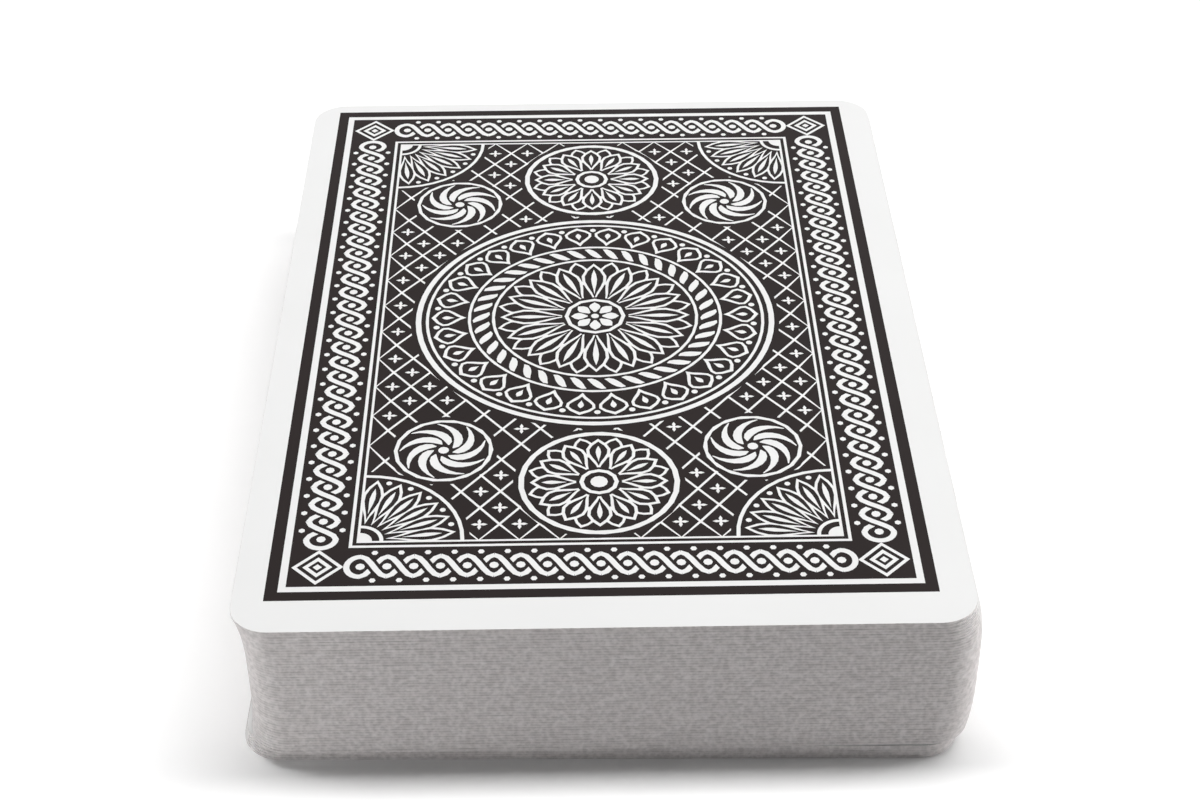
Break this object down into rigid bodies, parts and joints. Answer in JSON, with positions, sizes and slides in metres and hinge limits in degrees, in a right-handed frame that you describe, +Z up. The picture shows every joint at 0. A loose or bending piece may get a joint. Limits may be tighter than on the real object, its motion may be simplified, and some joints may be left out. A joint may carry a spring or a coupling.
{
  "type": "playing card deck",
  "caption": "Pack of poker-size playing cards lying face down in a slightly unsquared stack; the cards fan about a corner and the top card slides off.",
  "frame": {"origin": "on the table under the middle of a card that would lie dead square in the pack", "axes": "+Z up through the pack towards the backs of the cards, +Y along the length of the cards, +X across their width"},
  "size_m": [0.0651, 0.0899, 0.0162],
  "materials": {
    "card_stock": "coated card stock, printed both sides, satin with a fine linen emboss"
  },
  "bodies": {
    "ace_of_hearts": {"ace_of_hearts": "card_stock"},
    "two_of_hearts": {"two_of_hearts": "card_stock"},
    "three_of_hearts": {"three_of_hearts": "card_stock"},
    "four_of_hearts": {"four_of_hearts": "card_stock"},
    "five_of_hearts": {"five_of_hearts": "card_stock"},
    "six_of_hearts": {"six_of_hearts": "card_stock"},
    "seven_of_hearts": {"seven_of_hearts": "card_stock"},
    "eight_of_hearts": {"eight_of_hearts": "card_stock"},
    "nine_of_hearts": {"nine_of_hearts": "card_stock"},
    "ten_of_hearts": {"ten_of_hearts": "card_stock"},
    "jack_of_hearts": {"jack_of_hearts": "card_stock"},
    "queen_of_hearts": {"queen_of_hearts": "card_stock"},
    "king_of_hearts": {"king_of_hearts": "card_stock"},
    "ace_of_clubs": {"ace_of_clubs": "card_stock"},
    "two_of_clubs": {"two_of_clubs": "card_stock"},
    "three_of_clubs": {"three_of_clubs": "card_stock"},
    "four_of_clubs": {"four_of_clubs": "card_stock"},
    "five_of_clubs": {"five_of_clubs": "card_stock"},
    "six_of_clubs": {"six_of_clubs": "card_stock"},
    "seven_of_clubs": {"seven_of_clubs": "card_stock"},
    "eight_of_clubs": {"eight_of_clubs": "card_stock"},
    "nine_of_clubs": {"nine_of_clubs": "card_stock"},
    "ten_of_clubs": {"ten_of_clubs": "card_stock"},
    "jack_of_clubs": {"jack_of_clubs": "card_stock"},
    "queen_of_clubs": {"queen_of_clubs": "card_stock"},
    "king_of_clubs": {"king_of_clubs": "card_stock"},
    "king_of_diamonds": {"king_of_diamonds": "card_stock"},
    "queen_of_diamonds": {"queen_of_diamonds": "card_stock"},
    "jack_of_diamonds": {"jack_of_diamonds": "card_stock"},
    "ten_of_diamonds": {"ten_of_diamonds": "card_stock"},
    "nine_of_diamonds": {"nine_of_diamonds": "card_stock"},
    "eight_of_diamonds": {"eight_of_diamonds": "card_stock"},
    "seven_of_diamonds": {"seven_of_diamonds": "card_stock"},
    "six_of_diamonds": {"six_of_diamonds": "card_stock"},
    "five_of_diamonds": {"five_of_diamonds": "card_stock"},
    "four_of_diamonds": {"four_of_diamonds": "card_stock"},
    "three_of_diamonds": {"three_of_diamonds": "card_stock"},
    "two_of_diamonds": {"two_of_diamonds": "card_stock"},
    "ace_of_diamonds": {"ace_of_diamonds": "card_stock"},
    "king_of_spades": {"king_of_spades": "card_stock"},
    "queen_of_spades": {"queen_of_spades": "card_stock"},
    "jack_of_spades": {"jack_of_spades": "card_stock"},
    "ten_of_spades": {"ten_of_spades": "card_stock"},
    "nine_of_spades": {"nine_of_spades": "card_stock"},
    "eight_of_spades": {"eight_of_spades": "card_stock"},
    "seven_of_spades": {"seven_of_spades": "card_stock"},
    "six_of_spades": {"six_of_spades": "card_stock"},
    "five_of_spades": {"five_of_spades": "card_stock"},
    "four_of_spades": {"four_of_spades": "card_stock"},
    "three_of_spades": {"three_of_spades": "card_stock"},
    "two_of_spades": {"two_of_spades": "card_stock"},
    "ace_of_spades": {"ace_of_spades": "card_stock"}
  },
  "joints": [
    {"name": "fan_two_of_hearts", "type": "hinge", "parent": "ace_of_hearts", "child": "two_of_hearts", "pos_m": [-0.02731, 0.04189, 0.00046], "axis": [0, 0, 1], "range_deg": [0, 2.21]},
    {"name": "fan_three_of_hearts", "type": "hinge", "parent": "ace_of_hearts", "child": "three_of_hearts", "pos_m": [-0.02719, 0.04188, 0.00077], "axis": [0, 0, 1], "range_deg": [0, 4.41]},
    {"name": "fan_four_of_hearts", "type": "hinge", "parent": "ace_of_hearts", "child": "four_of_hearts", "pos_m": [-0.02711, 0.04189, 0.00108], "axis": [0, 0, 1], "range_deg": [0, 6.61]},
    {"name": "fan_five_of_hearts", "type": "hinge", "parent": "ace_of_hearts", "child": "five_of_hearts", "pos_m": [-0.02707, 0.04187, 0.00139], "axis": [0, 0, 1], "range_deg": [0, 8.81]},
    {"name": "fan_six_of_hearts", "type": "hinge", "parent": "ace_of_hearts", "child": "six_of_hearts", "pos_m": [-0.02783, 0.04094, 0.00178], "axis": [0, 0, 1], "range_deg": [0, 11.01]},
    {"name": "fan_seven_of_hearts", "type": "hinge", "parent": "ace_of_hearts", "child": "seven_of_hearts", "pos_m": [-0.02776, 0.04097, 0.00209], "axis": [0, 0, 1], "range_deg": [0, 13.21]},
    {"name": "fan_eight_of_hearts", "type": "hinge", "parent": "ace_of_hearts", "child": "eight_of_hearts", "pos_m": [-0.02771, 0.04095, 0.0024], "axis": [0, 0, 1], "range_deg": [0, 15.41]},
    {"name": "fan_nine_of_hearts", "type": "hinge", "parent": "ace_of_hearts", "child": "nine_of_hearts", "pos_m": [-0.02767, 0.04095, 0.00271], "axis": [0, 0, 1], "range_deg": [0, 17.61]},
    {"name": "fan_ten_of_hearts", "type": "hinge", "parent": "ace_of_hearts", "child": "ten_of_hearts", "pos_m": [-0.02765, 0.04095, 0.00302], "axis": [0, 0, 1], "range_deg": [0, 19.81]},
    {"name": "fan_jack_of_hearts", "type": "hinge", "parent": "ace_of_hearts", "child": "jack_of_hearts", "pos_m": [-0.02758, 0.04095, 0.00333], "axis": [0, 0, 1], "range_deg": [0, 22.01]},
    {"name": "fan_queen_of_hearts", "type": "hinge", "parent": "ace_of_hearts", "child": "queen_of_hearts", "pos_m": [-0.02755, 0.04097, 0.00364], "axis": [0, 0, 1], "range_deg": [0, 24.21]},
    {"name": "fan_king_of_hearts", "type": "hinge", "parent": "ace_of_hearts", "child": "king_of_hearts", "pos_m": [-0.02756, 0.04094, 0.00395], "axis": [0, 0, 1], "range_deg": [0, 26.41]},
    {"name": "fan_ace_of_clubs", "type": "hinge", "parent": "ace_of_hearts", "child": "ace_of_clubs", "pos_m": [-0.02752, 0.04094, 0.00426], "axis": [0, 0, 1], "range_deg": [0, 28.61]},
    {"name": "fan_two_of_clubs", "type": "hinge", "parent": "ace_of_hearts", "child": "two_of_clubs", "pos_m": [-0.0275, 0.04096, 0.00457], "axis": [0, 0, 1], "range_deg": [0, 30.81]},
    {"name": "fan_three_of_clubs", "type": "hinge", "parent": "ace_of_hearts", "child": "three_of_clubs", "pos_m": [-0.02748, 0.04095, 0.00488], "axis": [0, 0, 1], "range_deg": [0, 33.01]},
    {"name": "fan_four_of_clubs", "type": "hinge", "parent": "ace_of_hearts", "child": "four_of_clubs", "pos_m": [-0.02747, 0.04095, 0.00519], "axis": [0, 0, 1], "range_deg": [0, 35.21]},
    {"name": "fan_five_of_clubs", "type": "hinge", "parent": "ace_of_hearts", "child": "five_of_clubs", "pos_m": [-0.02749, 0.04094, 0.0055], "axis": [0, 0, 1], "range_deg": [0, 37.41]},
    {"name": "fan_six_of_clubs", "type": "hinge", "parent": "ace_of_hearts", "child": "six_of_clubs", "pos_m": [-0.02746, 0.04094, 0.00581], "axis": [0, 0, 1], "range_deg": [0, 39.61]},
    {"name": "fan_seven_of_clubs", "type": "hinge", "parent": "ace_of_hearts", "child": "seven_of_clubs", "pos_m": [-0.02744, 0.04097, 0.00612], "axis": [0, 0, 1], "range_deg": [0, 41.81]},
    {"name": "fan_eight_of_clubs", "type": "hinge", "parent": "ace_of_hearts", "child": "eight_of_clubs", "pos_m": [-0.02746, 0.04094, 0.00643], "axis": [0, 0, 1], "range_deg": [0, 44.01]},
    {"name": "fan_nine_of_clubs", "type": "hinge", "parent": "ace_of_hearts", "child": "nine_of_clubs", "pos_m": [-0.02746, 0.04094, 0.00674], "axis": [0, 0, 1], "range_deg": [0, 46.21]},
    {"name": "fan_ten_of_clubs", "type": "hinge", "parent": "ace_of_hearts", "child": "ten_of_clubs", "pos_m": [-0.02746, 0.04095, 0.00705], "axis": [0, 0, 1], "range_deg": [0, 48.41]},
    {"name": "fan_jack_of_clubs", "type": "hinge", "parent": "ace_of_hearts", "child": "jack_of_clubs", "pos_m": [-0.02743, 0.04095, 0.00736], "axis": [0, 0, 1], "range_deg": [0, 50.61]},
    {"name": "fan_queen_of_clubs", "type": "hinge", "parent": "ace_of_hearts", "child": "queen_of_clubs", "pos_m": [-0.02744, 0.04096, 0.00767], "axis": [0, 0, 1], "range_deg": [0, 52.81]},
    {"name": "fan_king_of_clubs", "type": "hinge", "parent": "ace_of_hearts", "child": "king_of_clubs", "pos_m": [-0.02747, 0.04094, 0.00798], "axis": [0, 0, 1], "range_deg": [0, 55.01]},
    {"name": "fan_king_of_diamonds", "type": "hinge", "parent": "ace_of_hearts", "child": "king_of_diamonds", "pos_m": [-0.02745, 0.04094, 0.00829], "axis": [0, 0, 1], "range_deg": [0, 57.21]},
    {"name": "fan_queen_of_diamonds", "type": "hinge", "parent": "ace_of_hearts", "child": "queen_of_diamonds", "pos_m": [-0.02744, 0.04097, 0.0086], "axis": [0, 0, 1], "range_deg": [0, 59.41]},
    {"name": "fan_jack_of_diamonds", "type": "hinge", "parent": "ace_of_hearts", "child": "jack_of_diamonds", "pos_m": [-0.02744, 0.04095, 0.00891], "axis": [0, 0, 1], "range_deg": [0, 61.61]},
    {"name": "fan_ten_of_diamonds", "type": "hinge", "parent": "ace_of_hearts", "child": "ten_of_diamonds", "pos_m": [-0.02745, 0.04095, 0.00922], "axis": [0, 0, 1], "range_deg": [0, 63.81]},
    {"name": "fan_nine_of_diamonds", "type": "hinge", "parent": "ace_of_hearts", "child": "nine_of_diamonds", "pos_m": [-0.02747, 0.04094, 0.00953], "axis": [0, 0, 1], "range_deg": [0, 66.01]},
    {"name": "fan_eight_of_diamonds", "type": "hinge", "parent": "ace_of_hearts", "child": "eight_of_diamonds", "pos_m": [-0.02744, 0.04095, 0.00984], "axis": [0, 0, 1], "range_deg": [0, 68.21]},
    {"name": "fan_seven_of_diamonds", "type": "hinge", "parent": "ace_of_hearts", "child": "seven_of_diamonds", "pos_m": [-0.02744, 0.04097, 0.01015], "axis": [0, 0, 1], "range_deg": [0, 70.41]},
    {"name": "fan_six_of_diamonds", "type": "hinge", "parent": "ace_of_hearts", "child": "six_of_diamonds", "pos_m": [-0.02747, 0.04094, 0.01046], "axis": [0, 0, 1], "range_deg": [0, 72.61]},
    {"name": "fan_five_of_diamonds", "type": "hinge", "parent": "ace_of_hearts", "child": "five_of_diamonds", "pos_m": [-0.02747, 0.04094, 0.01077], "axis": [0, 0, 1], "range_deg": [0, 74.81]},
    {"name": "fan_four_of_diamonds", "type": "hinge", "parent": "ace_of_hearts", "child": "four_of_diamonds", "pos_m": [-0.02748, 0.04096, 0.01108], "axis": [0, 0, 1], "range_deg": [0, 77.01]},
    {"name": "fan_three_of_diamonds", "type": "hinge", "parent": "ace_of_hearts", "child": "three_of_diamonds", "pos_m": [-0.02747, 0.04095, 0.01139], "axis": [0, 0, 1], "range_deg": [0, 79.21]},
    {"name": "fan_two_of_diamonds", "type": "hinge", "parent": "ace_of_hearts", "child": "two_of_diamonds", "pos_m": [-0.0275, 0.04096, 0.0117], "axis": [0, 0, 1], "range_deg": [0, 81.41]},
    {"name": "fan_ace_of_diamonds", "type": "hinge", "parent": "ace_of_hearts", "child": "ace_of_diamonds", "pos_m": [-0.02755, 0.04094, 0.01201], "axis": [0, 0, 1], "range_deg": [0, 83.61]},
    {"name": "fan_king_of_spades", "type": "hinge", "parent": "ace_of_hearts", "child": "king_of_spades", "pos_m": [-0.02754, 0.04094, 0.01232], "axis": [0, 0, 1], "range_deg": [0, 85.81]},
    {"name": "fan_queen_of_spades", "type": "hinge", "parent": "ace_of_hearts", "child": "queen_of_spades", "pos_m": [-0.02756, 0.04097, 0.01263], "axis": [0, 0, 1], "range_deg": [0, 88.01]},
    {"name": "fan_jack_of_spades", "type": "hinge", "parent": "ace_of_hearts", "child": "jack_of_spades", "pos_m": [-0.0276, 0.04095, 0.01294], "axis": [0, 0, 1], "range_deg": [0, 90.21]},
    {"name": "fan_ten_of_spades", "type": "hinge", "parent": "ace_of_hearts", "child": "ten_of_spades", "pos_m": [-0.02764, 0.04094, 0.01325], "axis": [0, 0, 1], "range_deg": [0, 92.41]},
    {"name": "fan_nine_of_spades", "type": "hinge", "parent": "ace_of_hearts", "child": "nine_of_spades", "pos_m": [-0.02769, 0.04095, 0.01356], "axis": [0, 0, 1], "range_deg": [0, 94.61]},
    {"name": "fan_eight_of_spades", "type": "hinge", "parent": "ace_of_hearts", "child": "eight_of_spades", "pos_m": [-0.0277, 0.04095, 0.01387], "axis": [0, 0, 1], "range_deg": [0, 96.81]},
    {"name": "fan_seven_of_spades", "type": "hinge", "parent": "ace_of_hearts", "child": "seven_of_spades", "pos_m": [-0.02776, 0.04097, 0.01418], "axis": [0, 0, 1], "range_deg": [0, 99.01]},
    {"name": "fan_six_of_spades", "type": "hinge", "parent": "ace_of_hearts", "child": "six_of_spades", "pos_m": [-0.02785, 0.04094, 0.01449], "axis": [0, 0, 1], "range_deg": [0, 101.21]},
    {"name": "fan_five_of_spades", "type": "hinge", "parent": "ace_of_hearts", "child": "five_of_spades", "pos_m": [-0.0279, 0.04094, 0.0148], "axis": [0, 0, 1], "range_deg": [0, 103.41]},
    {"name": "fan_four_of_spades", "type": "hinge", "parent": "ace_of_hearts", "child": "four_of_spades", "pos_m": [-0.02797, 0.04096, 0.01511], "axis": [0, 0, 1], "range_deg": [0, 105.61]},
    {"name": "fan_three_of_spades", "type": "hinge", "parent": "ace_of_hearts", "child": "three_of_spades", "pos_m": [-0.02804, 0.04095, 0.01542], "axis": [0, 0, 1], "range_deg": [0, 107.81]},
    {"name": "fan", "type": "hinge", "parent": "ace_of_hearts", "child": "two_of_spades", "pos_m": [-0.02815, 0.04095, 0.01573], "axis": [0, 0, 1], "range_deg": [0, 110]},
    {"name": "deal", "type": "slide", "parent": "two_of_spades", "child": "ace_of_spades", "axis": [1, 0, 0], "range_m": [0, 0.03]}
  ],
  "couplings": [
    {"joint": "fan_two_of_hearts", "follows": "fan", "ratio": 0.02},
    {"joint": "fan_three_of_hearts", "follows": "fan", "ratio": 0.04},
    {"joint": "fan_four_of_hearts", "follows": "fan", "ratio": 0.06},
    {"joint": "fan_five_of_hearts", "follows": "fan", "ratio": 0.08},
    {"joint": "fan_six_of_hearts", "follows": "fan", "ratio": 0.1},
    {"joint": "fan_seven_of_hearts", "follows": "fan", "ratio": 0.12},
    {"joint": "fan_eight_of_hearts", "follows": "fan", "ratio": 0.14},
    {"joint": "fan_nine_of_hearts", "follows": "fan", "ratio": 0.16},
    {"joint": "fan_ten_of_hearts", "follows": "fan", "ratio": 0.18},
    {"joint": "fan_jack_of_hearts", "follows": "fan", "ratio": 0.2},
    {"joint": "fan_queen_of_hearts", "follows": "fan", "ratio": 0.22},
    {"joint": "fan_king_of_hearts", "follows": "fan", "ratio": 0.24},
    {"joint": "fan_ace_of_clubs", "follows": "fan", "ratio": 0.26},
    {"joint": "fan_two_of_clubs", "follows": "fan", "ratio": 0.28},
    {"joint": "fan_three_of_clubs", "follows": "fan", "ratio": 0.3},
    {"joint": "fan_four_of_clubs", "follows": "fan", "ratio": 0.32},
    {"joint": "fan_five_of_clubs", "follows": "fan", "ratio": 0.34},
    {"joint": "fan_six_of_clubs", "follows": "fan", "ratio": 0.36},
    {"joint": "fan_seven_of_clubs", "follows": "fan", "ratio": 0.38},
    {"joint": "fan_eight_of_clubs", "follows": "fan", "ratio": 0.4},
    {"joint": "fan_nine_of_clubs", "follows": "fan", "ratio": 0.42},
    {"joint": "fan_ten_of_clubs", "follows": "fan", "ratio": 0.44},
    {"joint": "fan_jack_of_clubs", "follows": "fan", "ratio": 0.46},
    {"joint": "fan_queen_of_clubs", "follows": "fan", "ratio": 0.48},
    {"joint": "fan_king_of_clubs", "follows": "fan", "ratio": 0.5},
    {"joint": "fan_king_of_diamonds", "follows": "fan", "ratio": 0.52},
    {"joint": "fan_queen_of_diamonds", "follows": "fan", "ratio": 0.54},
    {"joint": "fan_jack_of_diamonds", "follows": "fan", "ratio": 0.56},
    {"joint": "fan_ten_of_diamonds", "follows": "fan", "ratio": 0.58},
    {"joint": "fan_nine_of_diamonds", "follows": "fan", "ratio": 0.6},
    {"joint": "fan_eight_of_diamonds", "follows": "fan", "ratio": 0.62},
    {"joint": "fan_seven_of_diamonds", "follows": "fan", "ratio": 0.64},
    {"joint": "fan_six_of_diamonds", "follows": "fan", "ratio": 0.66},
    {"joint": "fan_five_of_diamonds", "follows": "fan", "ratio": 0.68},
    {"joint": "fan_four_of_diamonds", "follows": "fan", "ratio": 0.7},
    {"joint": "fan_three_of_diamonds", "follows": "fan", "ratio": 0.72},
    {"joint": "fan_two_of_diamonds", "follows": "fan", "ratio": 0.74},
    {"joint": "fan_ace_of_diamonds", "follows": "fan", "ratio": 0.76},
    {"joint": "fan_king_of_spades", "follows": "fan", "ratio": 0.78},
    {"joint": "fan_queen_of_spades", "follows": "fan", "ratio": 0.8},
    {"joint": "fan_jack_of_spades", "follows": "fan", "ratio": 0.82},
    {"joint": "fan_ten_of_spades", "follows": "fan", "ratio": 0.84},
    {"joint": "fan_nine_of_spades", "follows": "fan", "ratio": 0.86},
    {"joint": "fan_eight_of_spades", "follows": "fan", "ratio": 0.88},
    {"joint": "fan_seven_of_spades", "follows": "fan", "ratio": 0.9},
    {"joint": "fan_six_of_spades", "follows": "fan", "ratio": 0.92},
    {"joint": "fan_five_of_spades", "follows": "fan", "ratio": 0.94},
    {"joint": "fan_four_of_spades", "follows": "fan", "ratio": 0.96},
    {"joint": "fan_three_of_spades", "follows": "fan", "ratio": 0.98}
  ]
}
